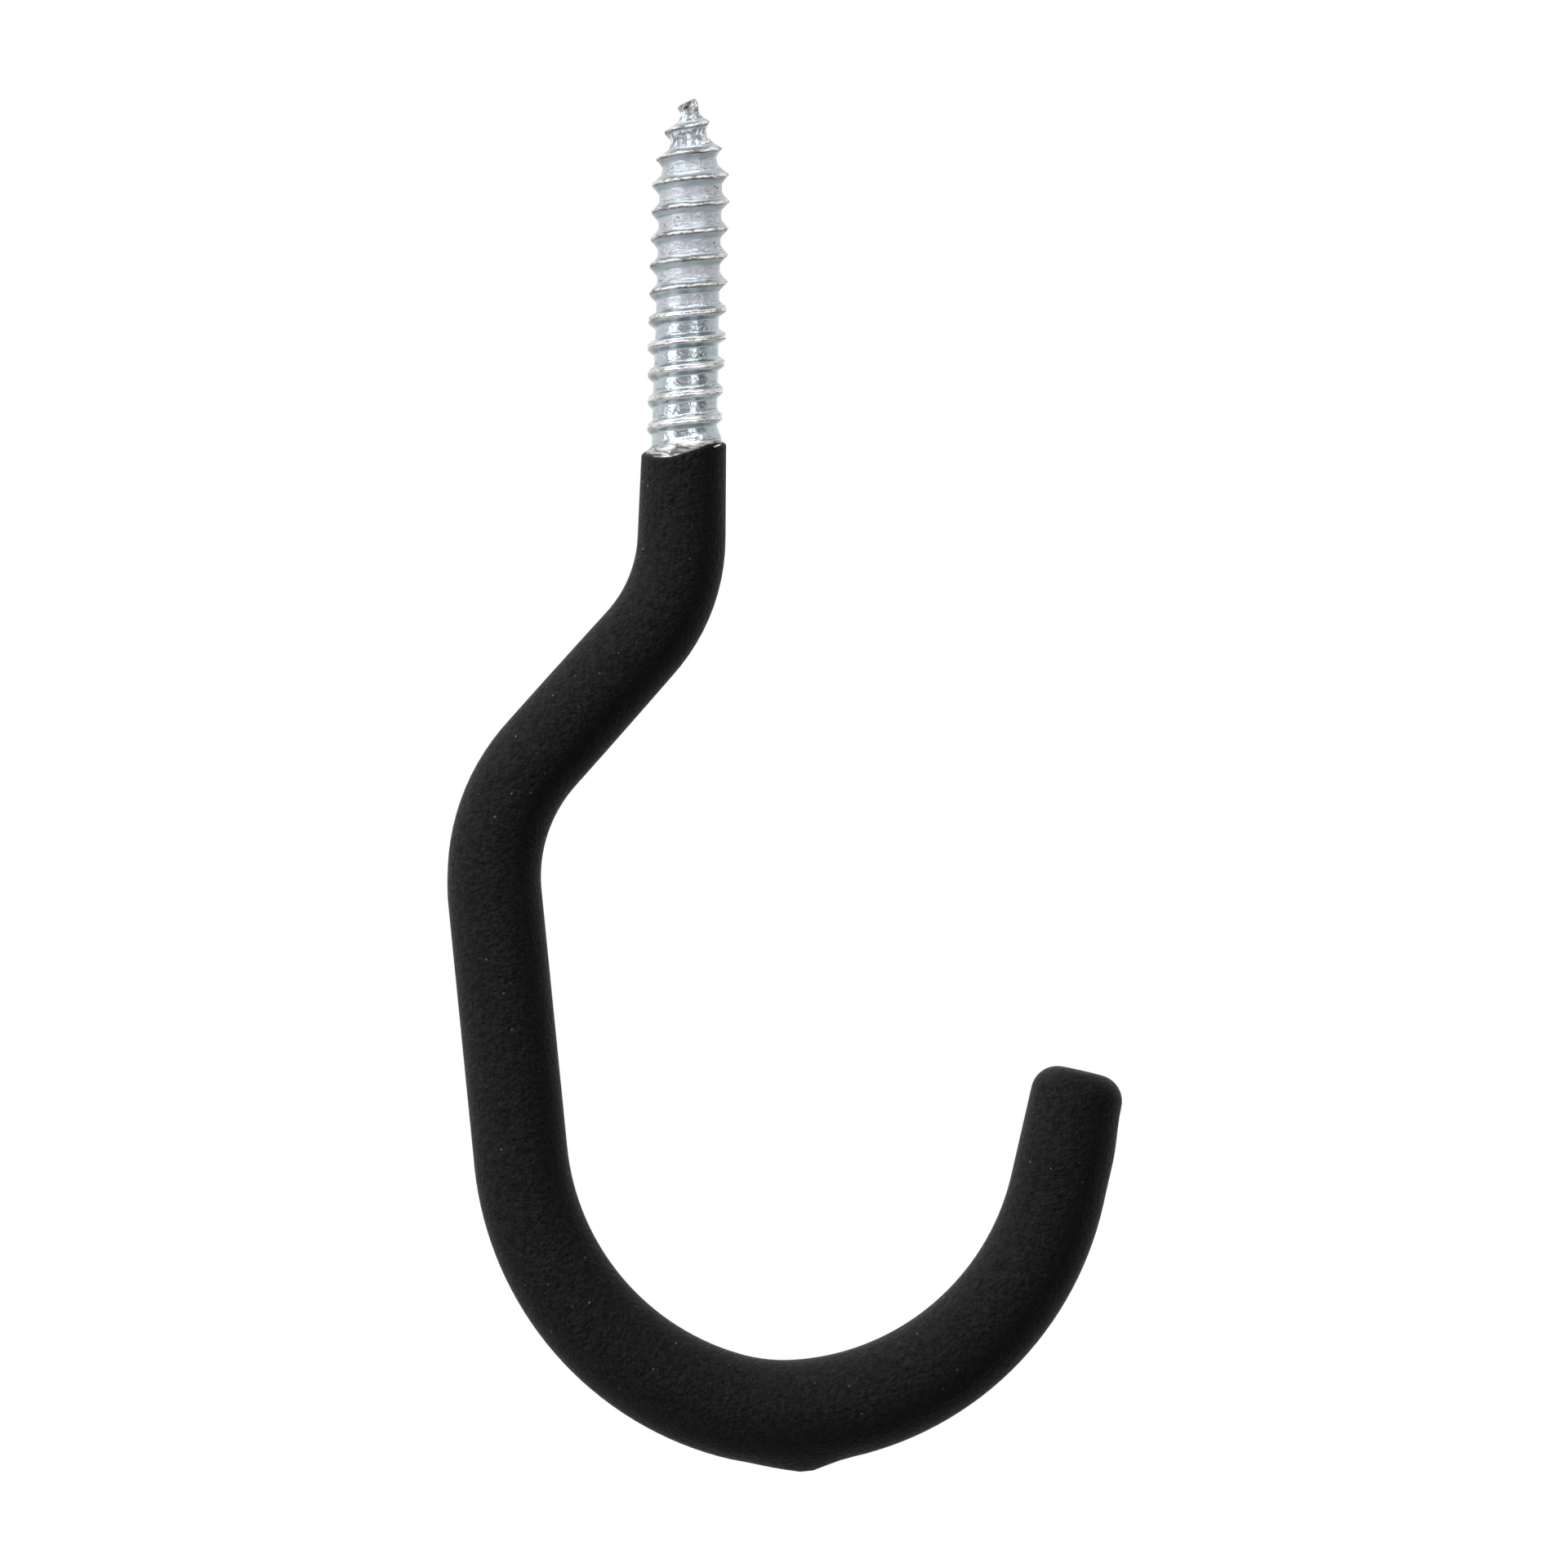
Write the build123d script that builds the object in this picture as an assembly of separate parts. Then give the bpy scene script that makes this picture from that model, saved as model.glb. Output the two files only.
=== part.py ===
"""Screw-in tool hook: a bent steel rod with a wood-screw thread, dipped in black vinyl.

The rod is one piece. Its thread stands up along +Z, and below the thread it jogs to the side,
runs down a long leg, turns through the bowl and ends in a short lip. The vinyl is a second piece,
a closed sleeve that wraps the rod from just under the thread to past its cut end.

All sizes are in millimetres. The origin is on the screw's axis where the bare thread meets the
vinyl's rim. The hook lies in the XZ plane, with its open side towards +X.
"""
from build123d import *
import os
from math import cos, pi, radians, sin, tan

# The rod and its bends, in order from the thread down to the lip
rod_diameter = 7.94
neck_length = 9.6
first_bend_radius = 17.1
first_bend_angle = 40.2
offset_length = 15.9
second_bend_radius = 19.3
second_bend_angle = 47.4
leg_length = 27.3
bowl_entry_radius = 30.3
bowl_entry_angle = 68.6
bowl_base_radius = 21.5
bowl_base_angle = 18.4
bowl_exit_radius = 30.1
bowl_exit_angle = 74.4
lip_length = 11.0
rod_end_chamfer = 0.5

# The rolled wood-screw thread, nine turns to the inch, with a tapered gimlet point
thread_pitch = 25.4 / 9
root_diameter = 6.7
shoulder_height = -0.2
shoulder_length = 0.7
taper_start_height = 28.5
point_height = 36.95
point_diameter = 1.1
point_slant = 26.0
point_slant_offset = 0.2

# The ridge of the thread, its stand above the root growing over the first turns
ridge_base_width = 1.74
ridge_crest_width = 0.3
ridge_bury = 0.35
ridge_below_shank = 0.02
ridge_stand = 0.77
ridge_growth_length = 7.0
ridge_run_into_shank = 1.8
ridge_end_below_point = 1.35
ridge_fade_length = 1.7
ridge_end_stand = 0.2
ridge_joint_below_taper = 0.5
first_crest_height = 3.52
stations_per_turn = 18

# The vinyl sleeve, thin at its rim and thickest where it drained to the bottom of the bowl
rim_coat = 0.5
body_coat = 0.97
lip_coat = 1.04
coat_build_up_length = 36.0
lip_build_up_start = 0.7
lip_build_up_share = 0.15
drain_sag = 0.6
sag_sharpness = 1.2
end_coat = 1.4
end_corner_radius = 2.8
lip_taper = 0.22
lip_taper_length = 6.0
station_spacing = 3.1

# The dip line, a plane that tilts up to the open side and up to the back
rim_height = 0.09
rim_side_tilt = 7.3
rim_back_tilt = 10.7
rim_corner_radius = 0.3
rim_trim_allowance = 0.5

# The drip nib that set just past the lowest point of the bowl
drip_rise = 0.6
drip_run_in = 7.0
drip_run_out = 4.6
drip_past_lowest = 3.0
drip_sharpness = 1.5


def smooth_step(share):
    """Ease from 0 to 1, flat at both ends."""
    share = min(max(share, 0.0), 1.0)
    return share * share * (3 - 2 * share)


def rod_path(past_the_end=0.0):
    """The rod's centreline from the shoulder down to its cut end, as straights and tangent arcs."""
    with BuildLine(Plane.XZ) as path:
        neck = Line((0, shoulder_height), (0, -neck_length))
        first_bend = JernArc(neck @ 1, neck % 1, first_bend_radius, -first_bend_angle)
        offset = PolarLine(first_bend @ 1, offset_length, direction=first_bend % 1)
        second_bend = JernArc(offset @ 1, offset % 1, second_bend_radius, second_bend_angle)
        leg = PolarLine(second_bend @ 1, leg_length, direction=second_bend % 1)
        entry = JernArc(leg @ 1, leg % 1, bowl_entry_radius, bowl_entry_angle)
        base = JernArc(entry @ 1, entry % 1, bowl_base_radius, bowl_base_angle)
        leave = JernArc(base @ 1, base % 1, bowl_exit_radius, bowl_exit_angle)
        PolarLine(leave @ 1, lip_length + past_the_end, direction=leave % 1)
    return path.wire()


def root_radius(height):
    """Radius of the thread's root, straight along the shank and tapered to the point."""
    run = (height - taper_start_height) / (point_height - taper_start_height)
    return root_diameter / 2 - max(run, 0.0) * (root_diameter - point_diameter) / 2


def crest_radius(height):
    """Radius of the ridge's crest: low by the vinyl, full along the shank, fading at the point."""
    low_stand = (rod_diameter - root_diameter) / 2 - ridge_below_shank
    growth = smooth_step(height / ridge_growth_length)
    stand = low_stand + (ridge_stand - low_stand) * growth
    fade = 1 - (point_height - ridge_end_below_point - height) / ridge_fade_length
    stand += (ridge_end_stand - ridge_stand) * min(max(fade, 0.0), 1.0)
    return root_radius(height) + stand


def ridge_section(height):
    """The ridge's trapezoid where its helix passes this height."""
    turn = 2 * pi * (height - first_crest_height) / thread_pitch
    corners = []
    for reach in (-ridge_base_width, -ridge_crest_width, ridge_crest_width, ridge_base_width):
        corner_height = height + reach / 2
        if abs(reach) == ridge_crest_width:
            radius = crest_radius(corner_height)
        else:
            radius = root_radius(corner_height) - ridge_bury
        corners.append(Vector(radius * cos(turn), radius * sin(turn), corner_height))
    return Wire.make_polygon(corners, close=True)


def ridge(low, high):
    """One stretch of the helical ridge, its base buried in the root."""
    count = max(3, round((high - low) / thread_pitch * stations_per_turn))
    heights = [low + (high - low) * index / count for index in range(count + 1)]
    return Solid.make_loft([ridge_section(height) for height in heights])


def screw_core():
    """The screw without its ridge: shoulder, root and tapered point, turned about the axis."""
    shoulder_top = shoulder_height + shoulder_length
    outline = Polyline(
        (0, shoulder_height),
        (rod_diameter / 2, shoulder_height),
        (root_diameter / 2, shoulder_top),
        (root_diameter / 2, taper_start_height),
        (point_diameter / 2, point_height),
        (0, point_height),
        close=True,
    )
    return revolve(make_face(Plane.XZ * outline), Axis.Z)


def bent_rod():
    """The plain rod, swept along its path, with a light chamfer on its cut end."""
    path = rod_path()
    rod = sweep(Plane(path @ 0, z_dir=path % 0) * Circle(rod_diameter / 2), path=path)
    end_face = rod.faces().sort_by_distance(path @ 1)[0]
    return chamfer(end_face.edges(), rod_end_chamfer)


def steel_hook():
    """The one-piece rod, from the broken gimlet point to the end that the vinyl hides."""
    joint_height = taper_start_height - ridge_joint_below_taper
    hook = bent_rod() + screw_core()
    hook += ridge(shoulder_height - ridge_run_into_shank, joint_height)
    hook += ridge(joint_height, point_height - ridge_end_below_point)
    away = Vector(-sin(radians(point_slant)), 0, cos(radians(point_slant)))
    slant = Plane((point_slant_offset, 0, point_height), z_dir=away)
    return split(hook, bisect_by=slant, keep=Keep.BOTTOM)


def coat_thickness(travel, total):
    """Thickness of the vinyl by the distance from the shoulder, before it sags."""
    build_up = sin(min(travel / coat_build_up_length, 1.0) * pi / 2)
    thickness = rim_coat + (body_coat - rim_coat) * build_up
    lip_share = (travel / total - lip_build_up_start) / lip_build_up_share
    return thickness + (lip_coat - body_coat) * smooth_step(lip_share)


def coat_section(place, heading, thickness, sag):
    """Plane and radius of one round section: as thick as asked above the rod, thicker below."""
    across = Vector(0, 1, 0)
    down = heading.cross(across)
    if down.Z > 0:
        down = -down
    plane = Plane(place + down * sag, x_dir=across, z_dir=heading)
    return plane, rod_diameter / 2 + thickness + sag


def nib_rise(travel, nib):
    """Height of the drip nib by the distance along the rod, steeper on its far side."""
    if travel < nib:
        share = 1 - (nib - travel) / drip_run_in
    else:
        share = 1 - (travel - nib) / drip_run_out
    return drip_rise * max(share, 0.0) ** drip_sharpness


def dip_line():
    """The plane of the vinyl's rim, whose normal points up towards the thread."""
    slope = Vector(-tan(radians(rim_side_tilt)), -tan(radians(rim_back_tilt)), 1)
    return Plane((0, 0, rim_height), z_dir=slope)


def round_end(plane, radius):
    """The closed end of the sleeve past the rod: flat, with a full round corner."""
    with BuildLine(Plane.XZ) as outline:
        corner = CenterArc((radius - end_corner_radius, 0), end_corner_radius, 0, 90)
        Polyline(corner @ 1, (0, end_corner_radius), (0, 0), corner @ 0)
    return plane * revolve(make_face(outline.wire()), Axis.Z)


def coat_outside():
    """The vinyl's outer shape as a solid, through circles that drop below the rod as it sags."""
    path = rod_path(end_coat)
    total = path.length
    past_lowest = second_bend_angle - first_bend_angle + bowl_entry_angle + bowl_base_angle - 90
    nib = total - end_coat - lip_length - radians(bowl_exit_angle) * bowl_exit_radius
    nib += drip_past_lowest - radians(past_lowest) * bowl_base_radius
    side = total - end_corner_radius
    count = round(side / station_spacing)
    travels = [side * index / count for index in range(count + 1)]
    travels = [travel for travel in travels if not -drip_run_in < travel - nib < drip_run_out]
    travels += [nib - drip_run_in * share for share in (1.0, 0.7, 0.4, 0.15)]
    travels += [nib + drip_run_out * share for share in (0.0, 0.2, 0.5, 1.0)]
    slope = tan(radians(rim_side_tilt)) + tan(radians(rim_back_tilt))
    top = rim_height + (rod_diameter / 2 + rim_coat) * slope + rim_trim_allowance
    sections = [coat_section(Vector(0, 0, top), path % 0, rim_coat, 0.0)]
    for travel in sorted(travels):
        place = path.position_at(travel / total)
        heading = path.tangent_at(travel / total)
        sag = drain_sag * max(heading.X, 0.0) ** sag_sharpness + nib_rise(travel, nib) / 2
        sag -= lip_taper * smooth_step((travel - side) / lip_taper_length + 1)
        sections.append(coat_section(place, heading, coat_thickness(travel, total), sag))
    sleeve = Solid.make_loft([plane * Wire.make_circle(radius) for plane, radius in sections])
    return sleeve + round_end(*sections[-1])


def vinyl_coat(hook):
    """The vinyl sleeve: its outer shape, trimmed at the dip line, less the rod inside it."""
    rim = dip_line()
    sleeve = split(coat_outside(), bisect_by=rim, keep=Keep.BOTTOM)
    rim_face = sleeve.faces().sort_by_distance(rim.origin)[0]
    sleeve = fillet(rim_face.edges(), rim_corner_radius)
    return sleeve - hook


hook = steel_hook()
coat = vinyl_coat(hook)

os.makedirs("parts", exist_ok=True)
export_step(hook, "parts/steel_hook.step")
export_step(coat, "parts/vinyl_coat.step")
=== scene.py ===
# %% [markdown]
# # A screw-in tool hook, dressed for the camera
# The real hook is a steel rod with a wood-screw thread rolled on its top end. It is bent into a
# wide bowl, plated with zinc, and dipped in soft black vinyl up to the thread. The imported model
# gives the two pieces as plain solids. This script makes a finished piece over each of them.

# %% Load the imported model
from math import atan2, cos, floor, pi, radians, sin, tan

import bpy
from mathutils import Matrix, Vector, noise


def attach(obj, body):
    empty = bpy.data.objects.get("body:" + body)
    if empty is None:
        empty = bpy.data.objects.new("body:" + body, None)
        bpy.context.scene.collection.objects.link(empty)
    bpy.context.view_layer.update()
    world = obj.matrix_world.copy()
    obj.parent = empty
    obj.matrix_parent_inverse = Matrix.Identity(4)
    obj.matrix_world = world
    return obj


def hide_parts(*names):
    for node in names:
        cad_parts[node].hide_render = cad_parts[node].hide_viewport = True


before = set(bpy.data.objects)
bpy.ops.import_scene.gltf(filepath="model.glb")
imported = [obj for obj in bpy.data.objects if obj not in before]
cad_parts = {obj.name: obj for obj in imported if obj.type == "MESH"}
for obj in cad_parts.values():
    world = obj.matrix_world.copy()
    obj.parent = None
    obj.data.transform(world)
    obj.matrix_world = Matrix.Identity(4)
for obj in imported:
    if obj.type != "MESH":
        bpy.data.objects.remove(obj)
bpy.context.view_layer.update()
mm = 0.001
print("packed nodes:", sorted(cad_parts))


# %% [markdown]
# ## The camera
# The photograph was taken straight from the front with a long lens. The screw leans 1.5 degrees to
# the left in it while the model stands straight, so it is the camera that is rolled.

# %% The camera
camera_distance = 1.0
camera_roll = 1.5
sensor_width = 36.0
view_width = 165.7
view_middle = (0.0115, -0.03518)
camera_data = bpy.data.cameras.new("front_view")
camera_data.sensor_width = sensor_width
camera_data.lens = sensor_width * camera_distance / (view_width * mm)
camera_data.clip_start = 0.05
camera_data.clip_end = 20.0
camera = bpy.data.objects.new("front_view", camera_data)
camera.location = (view_middle[0], -camera_distance, view_middle[1])
camera.rotation_euler = (radians(90), radians(-camera_roll), 0)
bpy.context.collection.objects.link(camera)
bpy.context.scene.camera = camera
print("lens", round(camera_data.lens, 1), "mm")

# %% [markdown]
# ## The rod's path
# Both pieces follow the same bent rod. Its straights and arcs are named here with the sizes of the
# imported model, in millimetres and degrees, and one walk along them gives the place and the lean of
# the rod at any distance from the thread.

# %% The rod's sizes
rod_radius = 3.97
rod_end_chamfer = 0.5
path_start_height = -0.2
neck_length = 9.6
lip_length = 11.0
bends = [
    # straight before the bend, radius, angle (positive turns towards the open side)
    (neck_length + path_start_height, 17.1, -40.2),
    (15.9, 19.3, 47.4),
    (27.3, 30.3, 68.6),
    (0.0, 21.5, 18.4),
    (0.0, 30.1, 74.4),
]
path_length = lip_length + sum(run + radius * radians(abs(angle)) for run, radius, angle in bends)
print("rod length", round(path_length, 2), "mm")


# %% A place on the path
def rod_place(travel):
    """Place of the rod's middle and its lean, in radians, after this many millimetres."""
    spot = Vector((0, 0, path_start_height))
    lean = 0.0
    for run, radius, angle in bends:
        ahead = Vector((sin(lean), 0, -cos(lean)))
        if travel < run:
            return spot + ahead * travel, lean
        spot += ahead * run
        travel -= run
        side = 1 if angle > 0 else -1
        aside = Vector((cos(lean), 0, sin(lean))) * side
        arc = min(travel / radius, radians(abs(angle)))
        spot += aside * radius * (1 - cos(arc)) + ahead * radius * sin(arc)
        lean += side * arc
        if arc < radians(abs(angle)):
            return spot, lean
        travel -= radius * arc
    return spot + Vector((sin(lean), 0, -cos(lean))) * travel, lean


lip_end, lip_lean = rod_place(path_length)
print("rod ends at", tuple(round(value, 2) for value in lip_end))

# %% [markdown]
# ## Working in edit mode
# A bent tube can be made by hand from one circle: extrude its edge, move the new ring, turn it and
# scale it, and do that again all along the rod. The next helpers do those moves with Blender's own
# operators. Everything is deselected first, because an operator acts on all that is selected.


# %% Helpers for edit mode
def deselect_all():
    """Leave edit mode and clear the selection."""
    if bpy.context.object and bpy.context.object.mode != "OBJECT":
        bpy.ops.object.mode_set(mode="OBJECT")
    bpy.ops.object.select_all(action="DESELECT")


def add_ring(centre, lean, radius, vertices):
    """A circle across the rod, added at its size and place."""
    bpy.ops.mesh.primitive_circle_add(
        vertices=vertices,
        radius=radius * mm,
        location=centre * mm,
        rotation=(0, -lean, 0),
    )


def next_ring(old, new):
    """Extrude the selected ring and move, turn and scale it; each ring is (centre, lean, radius)."""
    bpy.ops.mesh.extrude_region_move(
        TRANSFORM_OT_translate={"value": (new[0] - old[0]) * mm}
    )
    turn = new[1] - old[1]
    if abs(turn) > 1e-7:
        bpy.ops.transform.rotate(value=turn, orient_axis="Y", center_override=new[0] * mm)
    if abs(new[2] - old[2]) > 1e-7:
        scale = new[2] / old[2]
        bpy.ops.transform.resize(value=(scale, scale, scale), center_override=new[0] * mm)


def close_ring():
    """Close the selected ring with a face that is drawn in twice and merged at its middle."""
    for scale in (0.55, 0.12):
        bpy.ops.mesh.extrude_region_move(TRANSFORM_OT_translate={"value": (0, 0, 0)})
        centre = selected_centre()
        bpy.ops.transform.resize(value=(scale, scale, scale), center_override=centre)
    bpy.ops.mesh.merge(type="CENTER")


def selected_centre():
    """Middle of the selected vertices."""
    bpy.context.object.update_from_editmode()
    chosen = [vertex.co for vertex in bpy.context.object.data.vertices if vertex.select]
    return sum(chosen, Vector()) / len(chosen)


def smooth_step(share):
    """Ease from 0 to 1, flat at both ends."""
    share = min(max(share, 0.0), 1.0)
    return share * share * (3 - 2 * share)


def settle(piece, angle):
    """Put the piece's place into its mesh, turn its faces out and shade it smooth."""
    deselect_all()
    piece.select_set(True)
    bpy.context.view_layer.objects.active = piece
    bpy.ops.object.transform_apply(location=True, rotation=True, scale=True)
    bpy.ops.object.mode_set(mode="EDIT")
    bpy.ops.mesh.select_all(action="SELECT")
    bpy.ops.mesh.normals_make_consistent(inside=False)
    bpy.ops.object.mode_set(mode="OBJECT")
    bpy.ops.object.shade_smooth_by_angle(angle=radians(angle))
    triangles = sum(len(face.vertices) - 2 for face in piece.data.polygons)
    print(piece.name, "has", triangles, "triangles")


# %% [markdown]
# ## The dipped vinyl sleeve
# The hot rod is dipped in liquid vinyl, which sets from the metal outwards. The skin is thin at
# the dip line, where the rod was in the bath last and shortest, and it slowly ran down to the
# bottom of the bowl before it set. So each ring below is a little larger than the rod, and hangs
# a little lower where the rod lies flat. The last drop set as a small nib under the bowl.

# %% The sleeve's sizes
rim_coat = 0.5
body_coat = 0.97
lip_coat = 1.04
coat_build_up = 36.0
drain_sag = 0.6
sag_sharpness = 1.2
end_coat = 1.4
end_corner = 2.8
lip_taper = 0.22
lip_taper_length = 6.0
sleeve_length = path_length + end_coat
sleeve_sides = 96


def coat_ring(travel):
    """Centre, lean and radius of the sleeve's outside at this distance from the thread."""
    spot, lean = rod_place(travel)
    thickness = rim_coat + (body_coat - rim_coat) * sin(min(travel / coat_build_up, 1) * pi / 2)
    thickness += (lip_coat - body_coat) * smooth_step((travel / sleeve_length - 0.7) / 0.15)
    sag = drain_sag * max(sin(lean), 0.0) ** sag_sharpness
    side = sleeve_length - end_corner
    sag -= lip_taper * smooth_step((travel - side) / lip_taper_length + 1)
    down = Vector((-cos(lean), 0, -sin(lean)))
    if down.z > 0:
        down = -down
    return spot + down * sag, lean, rod_radius + thickness + sag


print("sleeve length", round(sleeve_length, 2), "mm")

# %% The sleeve's outer wall
deselect_all()
above_rim = 3.0
ring = (Vector((0, 0, above_rim)), 0.0, rod_radius + rim_coat)
add_ring(*ring, sleeve_sides)
sleeve = bpy.context.object
sleeve.name = "dipped_sleeve"
bpy.ops.object.transform_apply(location=True, rotation=True, scale=True)
bpy.ops.object.mode_set(mode="EDIT")
bpy.ops.mesh.select_all(action="SELECT")
wall_end = sleeve_length - end_corner
wall_rings = 150
for index in range(wall_rings + 1):
    fresh = coat_ring(wall_end * index / wall_rings)
    next_ring(ring, fresh)
    ring = fresh
print("sleeve wall rings:", wall_rings)

# %% The sleeve's rounded end
side_ring = ring
ahead = Vector((sin(lip_lean), 0, -cos(lip_lean)))
corner_steps = 10
for index in range(1, corner_steps + 1):
    turned = pi / 2 * index / corner_steps
    fresh = (
        side_ring[0] + ahead * end_corner * sin(turned),
        side_ring[1],
        side_ring[2] - end_corner * (1 - cos(turned)),
    )
    next_ring(ring, fresh)
    ring = fresh
close_ring()
print("sleeve ends at", tuple(round(value, 2) for value in ring[0]))

# %% [markdown]
# ## The dip line
# The hook went into the bath a little crooked, so the rim is a slanted cut through the sleeve. The
# wall was started well above it. A bisect cuts it along the slanted plane, and the edge that is
# left is extruded over in small steps, so that the rim is a soft round lip and not a knife edge.

# %% The rim
rim_height = 0.09
rim_side_tilt = 7.3
rim_back_tilt = 10.7
rim_round = 0.34
cut_threshold = 0.001 * mm
rim_slope = Vector((-tan(radians(rim_side_tilt)), -tan(radians(rim_back_tilt)), 1))
rim_normal = rim_slope.normalized()
rim_middle = Vector((0, 0, rim_height))


def cut_above(height):
    """Cut the mesh in edit mode along the dip line, lifted by a height, and drop what is above."""
    bpy.ops.mesh.select_all(action="SELECT")
    bpy.ops.mesh.bisect(
        plane_co=(rim_middle + Vector((0, 0, height))) * mm,
        plane_no=rim_normal,
        clear_outer=True,
        threshold=cut_threshold,
    )


cut_above(-rim_round)
rim_steps = 7
outer = rod_radius + rim_coat
old_lift = -rim_round
old_radius = outer
for index in range(1, rim_steps + 1):
    turned = pi / 2 * index / rim_steps
    lift = -rim_round + rim_round * sin(turned)
    radius = outer - rim_round * (1 - cos(turned))
    bpy.ops.mesh.extrude_region_move(
        TRANSFORM_OT_translate={"value": (0, 0, (lift - old_lift) * mm)}
    )
    scale = radius / old_radius
    bpy.ops.transform.resize(
        value=(scale, scale, scale),
        center_override=(rim_middle + Vector((0, 0, lift))) * mm,
    )
    old_lift = lift
    old_radius = radius
print("rim rounded in", rim_steps, "steps")

# %% [markdown]
# ## The inside of the sleeve
# The vinyl grips the rod all the way and closes over its cut end. The rim's ring is drawn in to the
# rod, dropped below the dip line, pressed flat and led along the same path at the rod's size, so
# that the sleeve is one closed skin.

# %% The inner wall
inner_radius = rod_radius + 0.02
inner_start = 2.0
inner_end = path_length + 0.05
inner_place = rod_place(inner_start)[0]
bpy.ops.mesh.extrude_region_move(TRANSFORM_OT_translate={"value": (0, 0, 0)})
scale = inner_radius / old_radius
bpy.ops.transform.resize(value=(scale, scale, scale), center_override=rim_middle * mm)
bpy.ops.mesh.extrude_region_move(
    TRANSFORM_OT_translate={"value": (inner_place - rim_middle) * mm}
)
bpy.ops.transform.resize(value=(1, 1, 0), center_override=inner_place * mm)
ring = (inner_place, 0.0, inner_radius)
inner_rings = 90
for index in range(1, inner_rings + 1):
    spot, lean = rod_place(inner_start + (inner_end - inner_start) * index / inner_rings)
    fresh = (spot, lean, inner_radius)
    next_ring(ring, fresh)
    ring = fresh
close_ring()
bpy.ops.object.mode_set(mode="OBJECT")
print("sleeve vertices:", len(sleeve.data.vertices))

# %% [markdown]
# ## The rim's creep
# Vinyl creeps before it sets. Along the front of the rim it sank at the left and climbed at the
# right, where it stands up as a short lip, and round the back it sank a little too. Each point is
# moved by its place, and the move fades out a few millimetres down.

# %% Let the rim creep
creep_height = 0.35
creep_half_wave = 4.7
creep_lift = 0.02
raised_lip = 0.22
raised_from = 1.8
raised_to = 4.1
back_drop = 0.2
creep_fade = 4.0


def rim_creep(spot):
    """How far the rim has risen at this place, in mm."""
    front = smooth_step(1 - (spot.y + 2) / 3)
    wave = creep_height * sin(pi * spot.x / creep_half_wave) + creep_lift
    lip = smooth_step((spot.x - raised_from) / 0.6) * smooth_step((raised_to - spot.x) / 0.8)
    rise = front * wave + front * raised_lip * lip
    rise -= (1 - front) * back_drop * smooth_step(-spot.x / 3.5)
    return rise * smooth_step(1 + spot.z / creep_fade)


for vertex in sleeve.data.vertices:
    vertex.co.z += rim_creep(vertex.co / mm) * mm
print("rim at its highest:", round(max(vertex.co.z for vertex in sleeve.data.vertices) / mm, 2), "mm")

# %% [markdown]
# ## The drip nib
# The last vinyl to drain set as a nib under the bowl. It is made as a pull on the lowest skin that
# fades out round the rod and along the bowl, more slowly where the vinyl ran in.

# %% The drip nib
nib_place = 15.9
nib_rise = 0.95
nib_run_in = 6.6
nib_run_out = 4.2
nib_sharpness = 1.35
nib_half_width = 4.16
nib_skin_top = -102.5
pull_start = -101.0
pull_depth = 3.5


def nib_pull(spot):
    """How far the skin hangs down here, in mm."""
    if spot.z >= nib_skin_top:
        return 0.0
    run = nib_run_in if spot.x < nib_place else nib_run_out
    along = max(1 - abs(spot.x - nib_place) / run, 0.0) ** nib_sharpness
    across = smooth_step(1 - abs(spot.y) / nib_half_width)
    under = smooth_step((pull_start - spot.z) / pull_depth)
    return nib_rise * along * across * under


for vertex in sleeve.data.vertices:
    vertex.co.z -= nib_pull(vertex.co / mm) * mm
lowest = min(vertex.co.z for vertex in sleeve.data.vertices)
print("lowest vinyl", round(lowest / mm, 2), "mm")

# %% [markdown]
# ## The screw thread
# A thread is one profile swept round and up at once, which is what the Screw modifier does. The
# profile is a chain of points one pitch long, set closer together at the crest. The modifier winds
# it up the axis, its turns are merged into one skin, and a second pass gives each point its radius:
# the root, the ridge, the shoulder, the taper and the pinched point.

# %% The thread's sizes
pitch = 25.4 / 9
first_crest = 3.52
winding_turns = 16
steps_per_turn = 128
rows_per_pitch = 36
start_turns_below = 3
start_crest = first_crest - start_turns_below * pitch
crest_crowding = 1.35
thread_foot = -1.5
merge_distance = 0.002
print("pitch", round(pitch, 3), "mm, first crest at", first_crest, "mm")

# %% Wind the profile
deselect_all()
bpy.ops.mesh.primitive_plane_add(size=0.001, location=(0, 0, 0))
screw = bpy.context.object
screw.name = "threaded_rod"
bpy.ops.object.mode_set(mode="EDIT")
bpy.ops.mesh.select_all(action="SELECT")
bpy.ops.mesh.merge(type="CENTER")
bpy.ops.transform.translate(value=Vector((rod_radius, 0, start_crest - pitch / 2)) * mm)
row_heights = []
for row in range(rows_per_pitch + 1):
    share = 2 * row / rows_per_pitch - 1
    row_heights.append(pitch / 2 * (1 if share > 0 else -1) * abs(share) ** crest_crowding)
for below, above in zip(row_heights, row_heights[1:]):
    bpy.ops.mesh.extrude_region_move(
        TRANSFORM_OT_translate={"value": (0, 0, (above - below) * mm)}
    )
bpy.ops.object.mode_set(mode="OBJECT")
winding = screw.modifiers.new("winding", "SCREW")
winding.axis = "Z"
winding.angle = 2 * pi
winding.screw_offset = pitch * mm
winding.iterations = winding_turns
winding.steps = steps_per_turn
winding.render_steps = steps_per_turn
winding.use_merge_vertices = False
bpy.ops.object.modifier_apply(modifier=winding.name)
bpy.ops.object.mode_set(mode="EDIT")
bpy.ops.mesh.select_all(action="SELECT")
bpy.ops.mesh.remove_doubles(threshold=merge_distance * mm)
bpy.ops.mesh.bisect(
    plane_co=(0, 0, thread_foot * mm),
    plane_no=(0, 0, -1),
    clear_outer=True,
    threshold=cut_threshold,
)
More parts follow.
